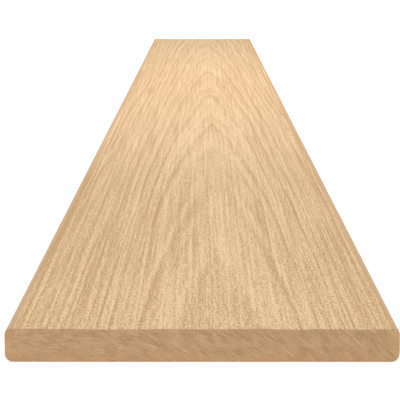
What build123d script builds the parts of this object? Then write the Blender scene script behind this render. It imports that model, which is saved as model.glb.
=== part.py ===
from build123d import *

import os

# Composite end trim: one flat board of solid wood-plastic composite.
#
# The real board is a single extrusion, cut square to length. Its section is a
# flat bar with rounded arrises: small ones on the grained show face, and fuller
# ones on the plain back, which goes against the edge of a deck or a wall. It has
# no holes, grooves or hollow, and is screwed or glued in place on site.
#
# It lies on its back on a level surface, with the show face up. X runs across
# the width, Y along the length, and Z out of the show face. The origin is the
# centre of the back face. Sizes are in millimetres.

# Driving dimensions.
board_width = 140.0
board_thickness = 12.0
board_length = 2000.0
show_arris_radius = 2.0
back_arris_radius = 3.0


def trim_section():
    """The extruded section: its right half drawn from the back face round to the show face."""
    half_width = board_width / 2
    back_flat_end = half_width - back_arris_radius
    show_flat_end = half_width - show_arris_radius
    edge_flat_top = board_thickness - show_arris_radius

    with BuildSketch(Plane.XZ) as section:
        with BuildLine():
            back_face = Line((0, 0), (back_flat_end, 0))
            back_arris = TangentArc(
                back_face @ 1, (half_width, back_arris_radius), tangent=back_face % 1
            )
            long_edge = Line(back_arris @ 1, (half_width, edge_flat_top))
            show_arris = TangentArc(
                long_edge @ 1, (show_flat_end, board_thickness), tangent=long_edge % 1
            )
            Line(show_arris @ 1, (0, board_thickness))
            mirror(about=Plane.YZ)
        make_face()
    return section.sketch


def end_trim_board():
    """The section extruded to the full length, half of it each way from the origin."""
    return extrude(trim_section(), amount=board_length / 2, both=True)


os.makedirs("parts", exist_ok=True)
board = end_trim_board()
board.label = "end_trim_board"
export_step(board, "parts/end_trim_board.step")
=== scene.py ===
import math

import bpy
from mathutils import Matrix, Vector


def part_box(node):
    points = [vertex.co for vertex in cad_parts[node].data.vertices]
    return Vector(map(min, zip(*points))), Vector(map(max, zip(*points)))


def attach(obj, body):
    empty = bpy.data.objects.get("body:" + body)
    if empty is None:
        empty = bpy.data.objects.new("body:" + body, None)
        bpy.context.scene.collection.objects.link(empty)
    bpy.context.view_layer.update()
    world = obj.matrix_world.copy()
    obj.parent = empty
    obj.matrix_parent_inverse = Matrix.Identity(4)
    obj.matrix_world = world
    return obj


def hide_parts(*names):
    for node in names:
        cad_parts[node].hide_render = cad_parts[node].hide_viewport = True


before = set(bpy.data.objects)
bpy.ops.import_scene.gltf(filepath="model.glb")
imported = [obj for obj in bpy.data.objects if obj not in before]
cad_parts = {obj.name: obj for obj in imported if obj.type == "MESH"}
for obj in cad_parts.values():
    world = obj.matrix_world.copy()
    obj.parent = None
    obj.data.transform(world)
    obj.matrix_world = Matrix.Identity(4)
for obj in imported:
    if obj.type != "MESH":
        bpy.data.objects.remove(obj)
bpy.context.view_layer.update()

# The trim board, first as it leaves the extruder: one flat bar of wood-plastic
# composite, with a small rounded arris along each side of its show face and a
# fuller one along each side of its back. Its two ends are sawn square.
MILLIMETRE = 0.001
SHOW_ARRIS_RADIUS = 2.0 * MILLIMETRE
BACK_ARRIS_RADIUS = 3.0 * MILLIMETRE
ARRIS_FACETS = 4
CLOSE = 0.01 * MILLIMETRE
ACROSS = 0
ALONG = 1

low_corner, high_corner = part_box("end_trim_board")
board_size = high_corner - low_corner
board_centre = (high_corner + low_corner) / 2


def pick_edges(board, wanted):
    """Selects the edges whose two ends pass the test, and nothing else, and leaves edit mode on."""
    bpy.ops.object.mode_set(mode="EDIT")
    bpy.ops.mesh.select_all(action="DESELECT")
    bpy.ops.mesh.select_mode(type="EDGE")
    bpy.ops.object.mode_set(mode="OBJECT")
    corners = board.data.vertices
    for edge in board.data.edges:
        start, end = (corners[i].co for i in edge.vertices)
        edge.select = wanted(start, end)
    bpy.ops.object.mode_set(mode="EDIT")


def runs_along(start, end, axis):
    """True if the line from start to end lies along that axis."""
    return all(abs(start[i] - end[i]) < CLOSE for i in range(3) if i != axis)


bpy.ops.object.select_all(action="DESELECT")
bpy.ops.mesh.primitive_cube_add(size=1, location=board_centre, scale=board_size)
board = bpy.context.active_object
board.name = "sawn_trim_board"
board.data.name = "sawn_trim_board"
bpy.ops.object.transform_apply(location=True, rotation=False, scale=True)

pick_edges(board, lambda a, b: runs_along(a, b, ALONG) and a.z > board_centre.z)
bpy.ops.mesh.bevel(offset=SHOW_ARRIS_RADIUS, segments=ARRIS_FACETS, profile=0.5)
pick_edges(
    board,
    lambda a, b: runs_along(a, b, ALONG) and a.z < CLOSE and abs(a.x) > high_corner.x - CLOSE,
)
bpy.ops.mesh.bevel(offset=BACK_ARRIS_RADIUS, segments=ARRIS_FACETS, profile=0.5)

# The show face is divided finely across and along, so that the embossed grain
# can be pressed into it. Each pair of cuts divides it once and then again.
COLUMN_CUTS = (15, 19)
ROW_CUTS = (15, 16)


def across_show_face(start, end):
    """True for the edges of the show face that run across the board."""
    return runs_along(start, end, ACROSS) and start.z > high_corner.z - CLOSE


for cuts in COLUMN_CUTS:
    pick_edges(board, across_show_face)
    bpy.ops.mesh.subdivide(number_cuts=cuts)
for cuts in ROW_CUTS:
    pick_edges(board, lambda a, b: runs_along(a, b, ALONG))
    bpy.ops.mesh.subdivide(number_cuts=cuts)
bpy.ops.object.mode_set(mode="OBJECT")

# The growth rings of the embossing roller's pattern, as the face of a flat-sawn
# plank shows them: tall arches that point at the far end, a little right of the
# middle, with legs that straighten towards both sides. Lengths are millimetres.
ARCH_LINE = 6.5
ARCH_LINE_DRIFT = 4.0
ARCH_LINE_WANDER = 2.2
ARCH_SPACING = 290.0
FIRST_ARCH = 0.54
ARCH_SPREAD_NEAR = 2.7
ARCH_SPREAD_FAR = 1.55
ARCH_POINT = 0.22
ARCH_TIP = 4.0
ARCH_REACH = 130.0
ROUND_ARCHES = (430.0, 1010.0)
FAINT_ARCH = 430.0
NEAR_CLEARNESS = 0.45
LEGS_STRAIGHTEN = (25.0, 62.0)
OUTERMOST_LEAN = 0.25
EVEN_LEGS = 1300.0
RING_ALTERNATION = 0.055
RING_FRAY = 0.12
LINE_PEAK = 0.3
FINE_RINGS = 3.0
FINE_RING_SHIFT = 0.35
STREAKS_TO_A_RING = 3.5


def new_node(tree, kind, inputs=None, **settings):
    """Adds a node. Each input is given a number, a tuple or the socket that feeds it."""
    made = tree.nodes.new(kind)
    for name, value in settings.items():
        setattr(made, name, value)
    for name, value in (inputs or {}).items():
        if isinstance(value, bpy.types.NodeSocket):
            tree.links.new(value, made.inputs[name])
        else:
            made.inputs[name].default_value = value
    return made


def maths(tree, operation, *terms):
    """One Math node, and the socket of its result."""
    inputs = dict(enumerate(terms))
    return new_node(tree, "ShaderNodeMath", inputs, operation=operation).outputs[0]


def ramp(tree, value, start, end, low=0.0, high=1.0):
    """A smooth step from low to high while value goes from start to end."""
    inputs = {
        "Value": value,
        "From Min": start,
        "From Max": end,
        "To Min": low,
        "To Max": high,
    }
    made = new_node(tree, "ShaderNodeMapRange", inputs, interpolation_type="SMOOTHSTEP")
    return made.outputs[0]


def streaks(tree, across, along, width, length, seed, detail=2.0, roughness=0.5):
    """Noise from 0 to 1 whose blobs are that wide and that long."""
    place = new_node(
        tree,
        "ShaderNodeCombineXYZ",
        {
            "X": maths(tree, "DIVIDE", across, width),
            "Y": maths(tree, "DIVIDE", along, length),
            "Z": seed,
        },
    )
    noise = new_node(
        tree,
        "ShaderNodeTexNoise",
        {
            "Vector": place.outputs[0],
            "Scale": 1.0,
            "Detail": detail,
            "Roughness": roughness,
        },
    )
    return noise.outputs[0]


def about_zero(tree, noise, size):
    """Noise from 0 to 1 moved to lie about zero, with that much reach each way."""
    return maths(tree, "MULTIPLY_ADD", noise, 2.0 * size, -size)


def place_in_millimetres(tree, place):
    """The three coordinates of a place in metres, in millimetres."""
    split = new_node(tree, "ShaderNodeSeparateXYZ", {0: place})
    return [maths(tree, "DIVIDE", split.outputs[i], MILLIMETRE) for i in range(3)]


def away_from(tree, along, arch):
    """0 at that arch, rising to 1 an arch's reach before and beyond it."""
    distance = maths(tree, "ABSOLUTE", maths(tree, "SUBTRACT", along, arch))
    return ramp(tree, distance, 0.0, ARCH_REACH)


def ring_count(tree, across, along, from_near_end):
    """The count of rings up to each place, its distance from the arch line, and how clear
    the crowns of the arches are there. The count grows along the board and to both sides."""
    drift = streaks(tree, 0.0, along, width=1.0, length=420.0, seed=3.1)
    wander = streaks(tree, across, along, width=34.0, length=700.0, seed=7.7)
    sideways = maths(tree, "SUBTRACT", across, ARCH_LINE)
    for noise, size in ((drift, ARCH_LINE_DRIFT), (wander, ARCH_LINE_WANDER)):
        sideways = maths(tree, "ADD", sideways, about_zero(tree, noise, size))
    aside = maths(tree, "ABSOLUTE", sideways)

    spread = ramp(tree, from_near_end, 0.0, EVEN_LEGS, ARCH_SPREAD_NEAR, ARCH_SPREAD_FAR)
    along_leg = maths(tree, "DIVIDE", maths(tree, "MULTIPLY", sideways, sideways), spread)
    lean = ramp(tree, aside, *LEGS_STRAIGHTEN, low=1.0, high=OUTERMOST_LEAN)
    from_even = maths(tree, "SUBTRACT", from_near_end, EVEN_LEGS)
    leaning = maths(tree, "MULTIPLY_ADD", from_even, lean, EVEN_LEGS)
    legs = maths(tree, "ADD", leaning, along_leg)
    count = maths(tree, "SUBTRACT", maths(tree, "DIVIDE", legs, ARCH_SPACING), FIRST_ARCH)

    point = maths(tree, "DIVIDE", aside, maths(tree, "ADD", aside, ARCH_TIP))
    point = maths(tree, "MULTIPLY", point, ARCH_POINT)
    beside_crown = ramp(tree, aside, start=8.0, end=22.0)
    for arch in ROUND_ARCHES:
        away = away_from(tree, from_near_end, arch)
        point = maths(tree, "MULTIPLY", point, maths(tree, "MAXIMUM", away, beside_crown))
    count = maths(tree, "ADD", count, point)
    wave = maths(tree, "COSINE", maths(tree, "MULTIPLY", count, math.pi))
    count = maths(tree, "SUBTRACT", count, maths(tree, "MULTIPLY", wave, RING_ALTERNATION))
    fray = streaks(tree, across, along, width=1.1, length=260.0, seed=1.9, detail=1.0)
    count = maths(tree, "ADD", count, about_zero(tree, fray, RING_FRAY))

    from_faint = away_from(tree, from_near_end, FAINT_ARCH)
    near_clear = maths(tree, "MULTIPLY", from_faint, NEAR_CLEARNESS)
    far_clear = ramp(tree, from_near_end, start=560.0, end=740.0, low=0.1, high=0.85)
    clear = maths(tree, "MAXIMUM", near_clear, far_clear)
    return count, aside, clear


def line_at_ring(tree, count, width):
    """A line at the outer side of each ring, that share of it wide, and sharper outwards."""
    share = maths(tree, "FRACT", count)
    start = maths(tree, "SUBTRACT", 1.0, width)
    peak = maths(tree, "SUBTRACT", 1.0, maths(tree, "MULTIPLY", width, LINE_PEAK))
    rise = ramp(tree, share, start, peak)
    fall = ramp(tree, share, peak, 1.0, low=1.0, high=0.0)
    return maths(tree, "MULTIPLY", rise, fall)


def grain(tree, place):
    """For a place in metres: where it is, in millimetres, and the parts of the grain, from 0 to 1."""
    across, along, _ = place_in_millimetres(tree, place)
    from_near_end = maths(tree, "ADD", along, board_size.y / MILLIMETRE / 2)
    from_middle = maths(tree, "ABSOLUTE", across)
    count, aside, clear = ring_count(tree, across, along, from_near_end)

    # Rings are strongest in the legs, fade in the outermost ones, and come and go in patches.
    leg = ramp(tree, aside, start=10.0, end=30.0)
    strength = maths(tree, "MAXIMUM", clear, leg)
    outermost = ramp(tree, from_near_end, start=300.0, end=1200.0, low=0.35, high=0.7)
    leg_end = ramp(tree, aside, start=44.0, end=56.0, low=1.0, high=outermost)
    strength = maths(tree, "MULTIPLY", strength, leg_end)
    patches = streaks(tree, across, along, width=8.0, length=260.0, seed=5.3)
    presence = ramp(tree, patches, start=0.36, end=0.6, low=0.45, high=1.0)
    strength = maths(tree, "MULTIPLY", strength, presence)

    # A band of late wood darkens towards the line at each ring, and a paler flank follows it.
    # In the show face's colour the line is also painted shade in its pressed groove, and the
    # flank a painted highlight beside it.
    share = maths(tree, "FRACT", count)
    late = ramp(tree, share, start=0.4, end=0.97)
    late_end = ramp(tree, share, start=0.96, end=1.0, low=1.0, high=0.0)
    band = maths(tree, "MULTIPLY", late, late_end)
    flank = ramp(tree, share, start=0.0, end=0.24, low=1.0, high=0.0)
    leg_width = ramp(tree, from_near_end, start=0.0, end=900.0, low=0.3, high=0.6)
    line_width = ramp(tree, aside, start=0.0, end=34.0, low=0.16, high=leg_width)
    line = line_at_ring(tree, count, line_width)

    # Finer rings run between them, but not on the arch line or far out to the sides.
    fine_count = maths(tree, "MULTIPLY_ADD", count, FINE_RINGS, FINE_RING_SHIFT)
    fine_line = line_at_ring(tree, fine_count, width=0.4)
    fine_patches = streaks(tree, across, along, width=6.0, length=160.0, seed=9.4)
    fine_presence = ramp(tree, fine_patches, start=0.42, end=0.6)
    inner_end = ramp(tree, from_near_end, start=200.0, end=1100.0, low=64.0, high=38.0)
    inner = ramp(tree, aside, start=22.0, end=inner_end, low=1.0, high=0.0)
    inner = maths(tree, "MULTIPLY", inner, ramp(tree, aside, start=4.0, end=14.0))
    fine_strength = maths(tree, "MULTIPLY", fine_presence, inner)

    streak_count = maths(tree, "MULTIPLY", count, STREAKS_TO_A_RING)
    return {
        "across": across,
        "along": along,
        "from_near_end": from_near_end,
        "line": maths(tree, "MULTIPLY", line, strength),
        "fine_line": maths(tree, "MULTIPLY", fine_line, fine_strength),
        "band": maths(tree, "MULTIPLY", band, strength),
        "flank": maths(tree, "MULTIPLY", flank, strength),
        "outer": ramp(tree, aside, start=14.0, end=56.0),
        "margin": ramp(tree, from_middle, start=58.0, end=66.0),
        "leg_streaks": streaks(
            tree, streak_count, along, width=1.0, length=600.0, seed=4.4, detail=1.0
        ),
        "straight": streaks(tree, across, along, width=1.4, length=500.0, seed=11.0, detail=1.0),
        "pressed": ramp(tree, from_middle, start=68.4, end=66.4),
    }


# The embossed grain as real relief. The rollers press the rings in as shallow
# grooves on a face that rolls a little from side to side, and leave a smooth
# margin beside each arris. Nothing stands above the extruded face.
GROOVE_DEPTH = 0.08
FINE_GROOVE_DEPTH = 0.05
ROLL_DEPTH = 0.32


def emboss(board):
    """Presses the grain into the show face with a geometry tree, and applies it."""
    tree = bpy.data.node_groups.new("embossed grain", "GeometryNodeTree")
    for direction in ("INPUT", "OUTPUT"):
        tree.interface.new_socket(
            "Geometry", in_out=direction, socket_type="NodeSocketGeometry"
        )
    plain = new_node(tree, "NodeGroupInput")
    place = new_node(tree, "GeometryNodeInputPosition").outputs[0]
    pattern = grain(tree, place)
    height = new_node(tree, "ShaderNodeSeparateXYZ", {0: place}).outputs[2]
    on_face = maths(tree, "GREATER_THAN", height, high_corner.z - CLOSE)

    across, along = pattern["across"], pattern["along"]
    roll = streaks(tree, across, along, width=15.0, length=320.0, seed=2.2, detail=1.0)
    roll = ramp(tree, roll, start=0.3, end=0.7)
    depth = maths(tree, "MULTIPLY", roll, ROLL_DEPTH)
    depth = maths(tree, "MULTIPLY_ADD", pattern["line"], GROOVE_DEPTH, depth)
    depth = maths(tree, "MULTIPLY_ADD", pattern["fine_line"], FINE_GROOVE_DEPTH, depth)
    depth = maths(tree, "MULTIPLY", depth, pattern["pressed"])
    drop = maths(tree, "MULTIPLY", depth, -MILLIMETRE)
    offset = new_node(tree, "ShaderNodeCombineXYZ", {"Z": drop}).outputs[0]

    pressed = new_node(
        tree,
        "GeometryNodeSetPosition",
        {"Geometry": plain.outputs[0], "Selection": on_face, "Offset": offset},
    )
    new_node(tree, "NodeGroupOutput", {"Geometry": pressed.outputs[0]})
    modifier = board.modifiers.new("embossed grain", "NODES")
    modifier.node_group = tree
    bpy.ops.object.modifier_apply(modifier=modifier.name)


# The colour of the show face: sandy wood fibre and plastic, pressed hot, with darker
# late wood, a paler flank outside each ring, fine straight pores and the speckle of
# the wood flour. The dark ring lines are partly grain and partly painted shade in the
# pressed grooves, and the paler flanks partly grain and partly a painted highlight.
# It is a little darker between 0.1 and 0.5 m from the near end.
DARK_SAND = (0.45, 0.264, 0.103, 1)
PALE_SAND = (0.744, 0.512, 0.289, 1)
SKIN = (0.483, 0.294, 0.14, 1)
EVEN_TONE = 0.63


def new_material(name):
    """A material with an empty tree, and its Principled shader, joined to the output."""
    material = bpy.data.materials.new(name)
    material.use_nodes = True
    tree = material.node_tree
    tree.nodes.clear()
    shader = new_node(tree, "ShaderNodeBsdfPrincipled")
    new_node(tree, "ShaderNodeOutputMaterial", {"Surface": shader.outputs[0]})
    return material, tree, shader


def blend(tree, share, first, second):
    """The colour that is that share of the way from the first to the second."""
    made = new_node(tree, "ShaderNodeMix", data_type="RGBA")
    tree.links.new(share, made.inputs[0])
    for slot, colour in ((6, first), (7, second)):
        if isinstance(colour, bpy.types.NodeSocket):
            tree.links.new(colour, made.inputs[slot])
        else:
            made.inputs[slot].default_value = colour
    return made.outputs[2]


def clamped(tree, value):
    """The value, kept between 0 and 1."""
    return new_node(tree, "ShaderNodeClamp", {"Value": value}).outputs[0]


def bump(tree, shader, height, distance, strength):
    """Bumps the surface by that height, where a height of 1 is that distance in metres."""
    inputs = {"Strength": strength, "Distance": distance, "Height": height}
    made = new_node(tree, "ShaderNodeBump", inputs)
    tree.links.new(made.outputs[0], shader.inputs["Normal"])


def show_face_material():
    material, tree, shader = new_material("embossed sand composite")
    place = new_node(tree, "ShaderNodeTexCoord").outputs["Object"]
    pattern = grain(tree, place)
    across, along = pattern["across"], pattern["along"]
    from_near_end = pattern["from_near_end"]
    flour = streaks(tree, across, along, width=0.65, length=2.8, seed=13.0, detail=0.0)
    pores = streaks(tree, across, along, width=0.8, length=14.0, seed=15.0, detail=1.0)
    fibres = streaks(tree, across, along, width=1.05, length=110.0, seed=19.0, detail=1.0)

    tone = EVEN_TONE
    outer_shade = ramp(tree, from_near_end, start=450.0, end=800.0, low=-0.155, high=-0.1)
    # Painted shade and highlight with the grain: the ring lines and fine lines are darkened along
    # their pressed grooves, and the flank beside each ring is made paler.
    for part, shade in (
        ("line", -0.34),
        ("fine_line", -0.24),
        ("band", -0.08),
        ("flank", 0.2),
        ("outer", outer_shade),
        ("margin", -0.12),
    ):
        tone = maths(tree, "MULTIPLY_ADD", pattern[part], shade, tone)
    darker_after = ramp(tree, from_near_end, start=50.0, end=160.0, low=0.0, high=-0.07)
    darker_until = ramp(tree, from_near_end, start=360.0, end=560.0, low=1.0, high=0.0)
    tone = maths(tree, "MULTIPLY_ADD", darker_after, darker_until, tone)
    for noise, size in (
        (pattern["leg_streaks"], 0.35),
        (pattern["straight"], 0.52),
        (fibres, 0.56),
        (pores, 0.55),
        (flour, 0.88),
    ):
        tone = maths(tree, "ADD", tone, about_zero(tree, noise, size))
    margin_lines = about_zero(tree, pattern["straight"], 0.6)
    tone = maths(tree, "MULTIPLY_ADD", pattern["margin"], margin_lines, tone)
    colour = blend(tree, clamped(tree, tone), DARK_SAND, PALE_SAND)
    colour = blend(tree, pattern["pressed"], SKIN, colour)
    tree.links.new(colour, shader.inputs["Base Color"])
    shader.inputs["Roughness"].default_value = 0.75
    shader.inputs["Specular IOR Level"].default_value = 0.3

    relief = 0.0
    for noise, height in (
        (pattern["line"], -0.05),
        (pattern["leg_streaks"], 0.3),
        (pattern["straight"], 0.3),
        (pores, 0.2),
        (flour, 0.12),
    ):
        relief = maths(tree, "MULTIPLY_ADD", noise, height, relief)
    relief = maths(tree, "MULTIPLY", relief, pattern["pressed"])
    bump(tree, shader, relief, distance=MILLIMETRE, strength=1.0)
    return material


# The smooth skin of the long edges, the arrises and the back, as the die leaves
# it: a little more orange than the show face, with fine lines drawn along it.
DARK_SKIN = (0.415, 0.248, 0.115, 1)
EVEN_SKIN_TONE = 0.25


def skin_material():
    material, tree, shader = new_material("drawn composite skin")
    place = new_node(tree, "ShaderNodeTexCoord").outputs["Object"]
    across, along, up = place_in_millimetres(tree, place)
    round_section = maths(tree, "SUBTRACT", across, up)
    drawn = streaks(tree, round_section, along, width=0.5, length=240.0, seed=21.0, detail=3.0)
    cloud = streaks(tree, round_section, along, width=6.0, length=50.0, seed=23.0, detail=3.0)
    dark = EVEN_SKIN_TONE
    for noise, size in ((drawn, 0.6), (cloud, 0.3)):
        dark = maths(tree, "ADD", dark, about_zero(tree, noise, size))
    colour = blend(tree, clamped(tree, dark), SKIN, DARK_SKIN)
    tree.links.new(colour, shader.inputs["Base Color"])
    shader.inputs["Roughness"].default_value = 0.6
    bump(tree, shader, drawn, distance=0.08 * MILLIMETRE, strength=0.6)
    return material


# The sawn ends show the bare core, darker above and to the right. Their colours are set
# darker than the show face's, partly for the core's own tone and partly as painted shade,
# as the ends face away from the light above. The saw's axle is below the left side, so its
# teeth leave fine arcs about that point, with pale fibres torn across them. The rim, below
# and at both sides, is more orange in patches.
# Painted shade: the sawn colours are set darker than the composite's own colour, for the ends' lower
# light.
SAWN = (0.432, 0.275, 0.139, 1)
DARK_SAWN = (0.315, 0.183, 0.084, 1)
PALE_SAWN = (0.6, 0.405, 0.23, 1)
RIM = (0.45, 0.252, 0.11, 1)
AXLE_ACROSS = -62.0
AXLE_BELOW = 122.0


def saw_arcs(tree, across, up):
    """The distance from the saw's axle, and how far that is to the side, in millimetres."""
    sideways = maths(tree, "SUBTRACT", across, AXLE_ACROSS)
    above = maths(tree, "ADD", up, AXLE_BELOW)
    sideways_squared = maths(tree, "MULTIPLY", sideways, sideways)
    above_squared = maths(tree, "MULTIPLY", above, above)
    both_squared = maths(tree, "ADD", sideways_squared, above_squared)
    return maths(tree, "SQRT", both_squared), sideways


def sawn_end_material():
    material, tree, shader = new_material("sawn composite core")
    place = new_node(tree, "ShaderNodeTexCoord").outputs["Object"]
    across, _, up = place_in_millimetres(tree, place)
    arc = saw_arcs(tree, across, up)
    arcs = streaks(tree, *arc, width=0.6, length=4.0, seed=31.0, detail=2.0, roughness=0.6)
    smear = streaks(tree, *arc, width=2.6, length=5.5, seed=33.0, detail=3.0, roughness=0.6)
    flour = streaks(tree, across, up, width=0.6, length=0.6, seed=34.0, detail=0.0)
    scratches = streaks(tree, *arc, width=0.45, length=6.0, seed=35.0, detail=0.0)
    splinters = streaks(tree, *arc, width=0.7, length=1.6, seed=37.0, detail=1.0)
    burnt = streaks(tree, across, up, width=9.0, length=1.6, seed=39.0, detail=2.0)

    dark = ramp(tree, up, start=6.0, end=11.0, low=0.3, high=0.48)
    for noise, size in ((arcs, 1.0), (smear, 1.2), (flour, 0.5)):
        dark = maths(tree, "ADD", dark, about_zero(tree, noise, size))
    darker_right = ramp(tree, across, start=-10.0, end=60.0, low=0.0, high=0.13)
    dark = maths(tree, "ADD", dark, darker_right)
    colour = blend(tree, clamped(tree, dark), SAWN, DARK_SAWN)

    from_middle = maths(tree, "ABSOLUTE", across)
    lower_rim = ramp(tree, up, start=0.8, end=3.8, low=0.8, high=0.0)
    side_rim = ramp(tree, from_middle, start=66.5, end=69.5, low=0.0, high=0.6)
    rim = maths(tree, "MAXIMUM", lower_rim, side_rim)
    rim_patches = ramp(tree, burnt, start=0.34, end=0.66, low=0.1, high=1.0)
    colour = blend(tree, maths(tree, "MULTIPLY", rim, rim_patches), colour, RIM)
    torn = ramp(tree, scratches, start=0.66, end=0.85, low=0.0, high=0.6)
    colour = blend(tree, torn, colour, PALE_SAWN)
    torn = ramp(tree, splinters, start=0.66, end=0.8, low=0.0, high=0.7)
    colour = blend(tree, torn, colour, PALE_SAWN)
    tree.links.new(colour, shader.inputs["Base Color"])
    shader.inputs["Roughness"].default_value = 0.8
    bump(tree, shader, arcs, distance=0.12 * MILLIMETRE, strength=0.7)
    return material


# Each finish goes on its own faces of the board: those square to its length are the
# sawn ends, and those at the top, before the grain is pressed in, are the show face.
END_FACING = 0.9
SHARPEST_SMOOTH_EDGE = 40

board.data.materials.append(show_face_material())
board.data.materials.append(skin_material())
board.data.materials.append(sawn_end_material())
SHOW_FACE, SKIN_FACE, SAWN_END = range(3)
for face in board.data.polygons:
    if abs(face.normal.y) > END_FACING:
        face.material_index = SAWN_END
    elif face.center.z > high_corner.z - CLOSE:
        face.material_index = SHOW_FACE
    else:
        face.material_index = SKIN_FACE

emboss(board)
bpy.ops.object.shade_smooth_by_angle(angle=math.radians(SHARPEST_SMOOTH_EDGE))
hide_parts("end_trim_board")
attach(board, "root")

# The studio: a plain white floor, a white surround, and one large soft light
# over the board.
FLOOR_SPAN = 60.0
SOFTBOX_PLACE = (0, 0.2, 0.4)
SOFTBOX_SIZE = (0.8, 1.2)
SOFTBOX_WATTS = 1.2

bpy.ops.object.select_all(action="DESELECT")
bpy.ops.mesh.primitive_plane_add(size=FLOOR_SPAN, location=(0, 0, 0))
floor = bpy.context.active_object
floor.name = "studio_floor"
floor_material, _, floor_shader = new_material("white studio floor")
floor_shader.inputs["Base Color"].default_value = (0.94, 0.94, 0.94, 1)
floor_shader.inputs["Roughness"].default_value = 1.0
floor_shader.inputs["Specular IOR Level"].default_value = 0.0
floor_shader.inputs["Emission Color"].default_value = (1, 1, 1, 1)
floor_shader.inputs["Emission Strength"].default_value = 0.3
floor.data.materials.append(floor_material)

world = bpy.data.worlds.new("white surround")
bpy.context.scene.world = world
world.use_nodes = True
world.node_tree.nodes["Background"].inputs["Color"].default_value = (1, 1, 1, 1)
world.node_tree.nodes["Background"].inputs["Strength"].default_value = 1.16

bpy.ops.object.light_add(type="AREA", location=SOFTBOX_PLACE)
softbox = bpy.context.active_object
softbox.name = "softbox"
softbox.data.shape = "RECTANGLE"
softbox.data.size, softbox.data.size_y = SOFTBOX_SIZE
softbox.data.energy = SOFTBOX_WATTS
softbox.visible_camera = False

# The camera looks along the board from just above its near end, through a long
# lens, as in the photograph. Its distances are metres and its angles degrees.
FRAME_PIXELS = 400
SENSOR_WIDTH = 36.0
FOCAL_PIXELS = 1789.0
CAMERA_BEFORE_END = 0.62
CAMERA_ABOVE_FACE = 0.134
CAMERA_PITCH = 8.08
CAMERA_YAW = 0.071

bpy.ops.object.camera_add(
    location=(
        0,
        low_corner.y - CAMERA_BEFORE_END,
        high_corner.z + CAMERA_ABOVE_FACE,
    ),
    rotation=(math.radians(90 - CAMERA_PITCH), 0, math.radians(CAMERA_YAW)),
)
camera = bpy.context.active_object
camera.name = "camera"
camera.data.sensor_width = SENSOR_WIDTH
camera.data.lens = FOCAL_PIXELS * SENSOR_WIDTH / FRAME_PIXELS
camera.data.clip_start = 0.01
bpy.context.scene.camera = camera
bpy.context.scene.view_settings.view_transform = "Standard"
